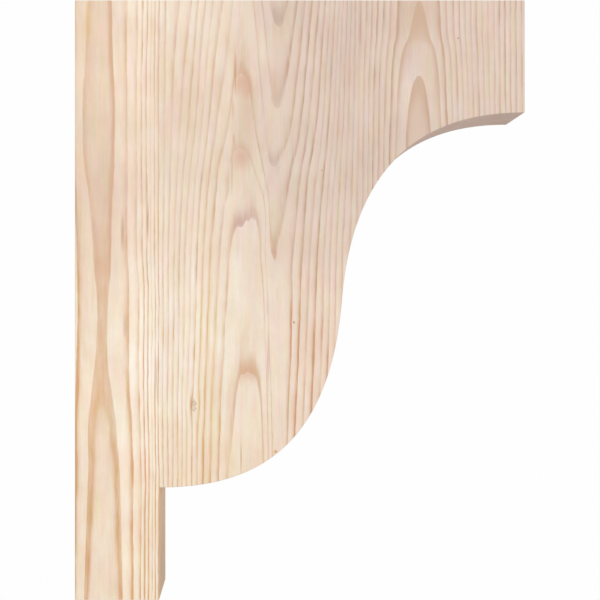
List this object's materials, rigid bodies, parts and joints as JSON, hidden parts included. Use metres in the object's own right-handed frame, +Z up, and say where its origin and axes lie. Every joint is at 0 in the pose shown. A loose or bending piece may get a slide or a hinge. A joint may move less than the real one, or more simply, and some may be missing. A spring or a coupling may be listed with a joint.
{
  "type": "corbel bracket",
  "caption": "Sawn softwood corbel bracket: straight back for a wall, flat top that carries a load, S-curved underside, square arm end and short square leg.",
  "frame": {"origin": "middle of the flat back that goes against the wall, halfway up and halfway across the thickness", "axes": "+X out from the wall along the arm, +Y across the thickness, +Z up along the back; the pictured side faces -Y"},
  "size_m": [0.3048, 0.0888, 0.4064],
  "materials": {
    "pale_fir": "bare smooth-planed softwood with a clear growth-ring figure, unfinished, no varnish"
  },
  "bodies": {
    "root": {"corbel": "pale_fir"}
  },
  "joints": []
}
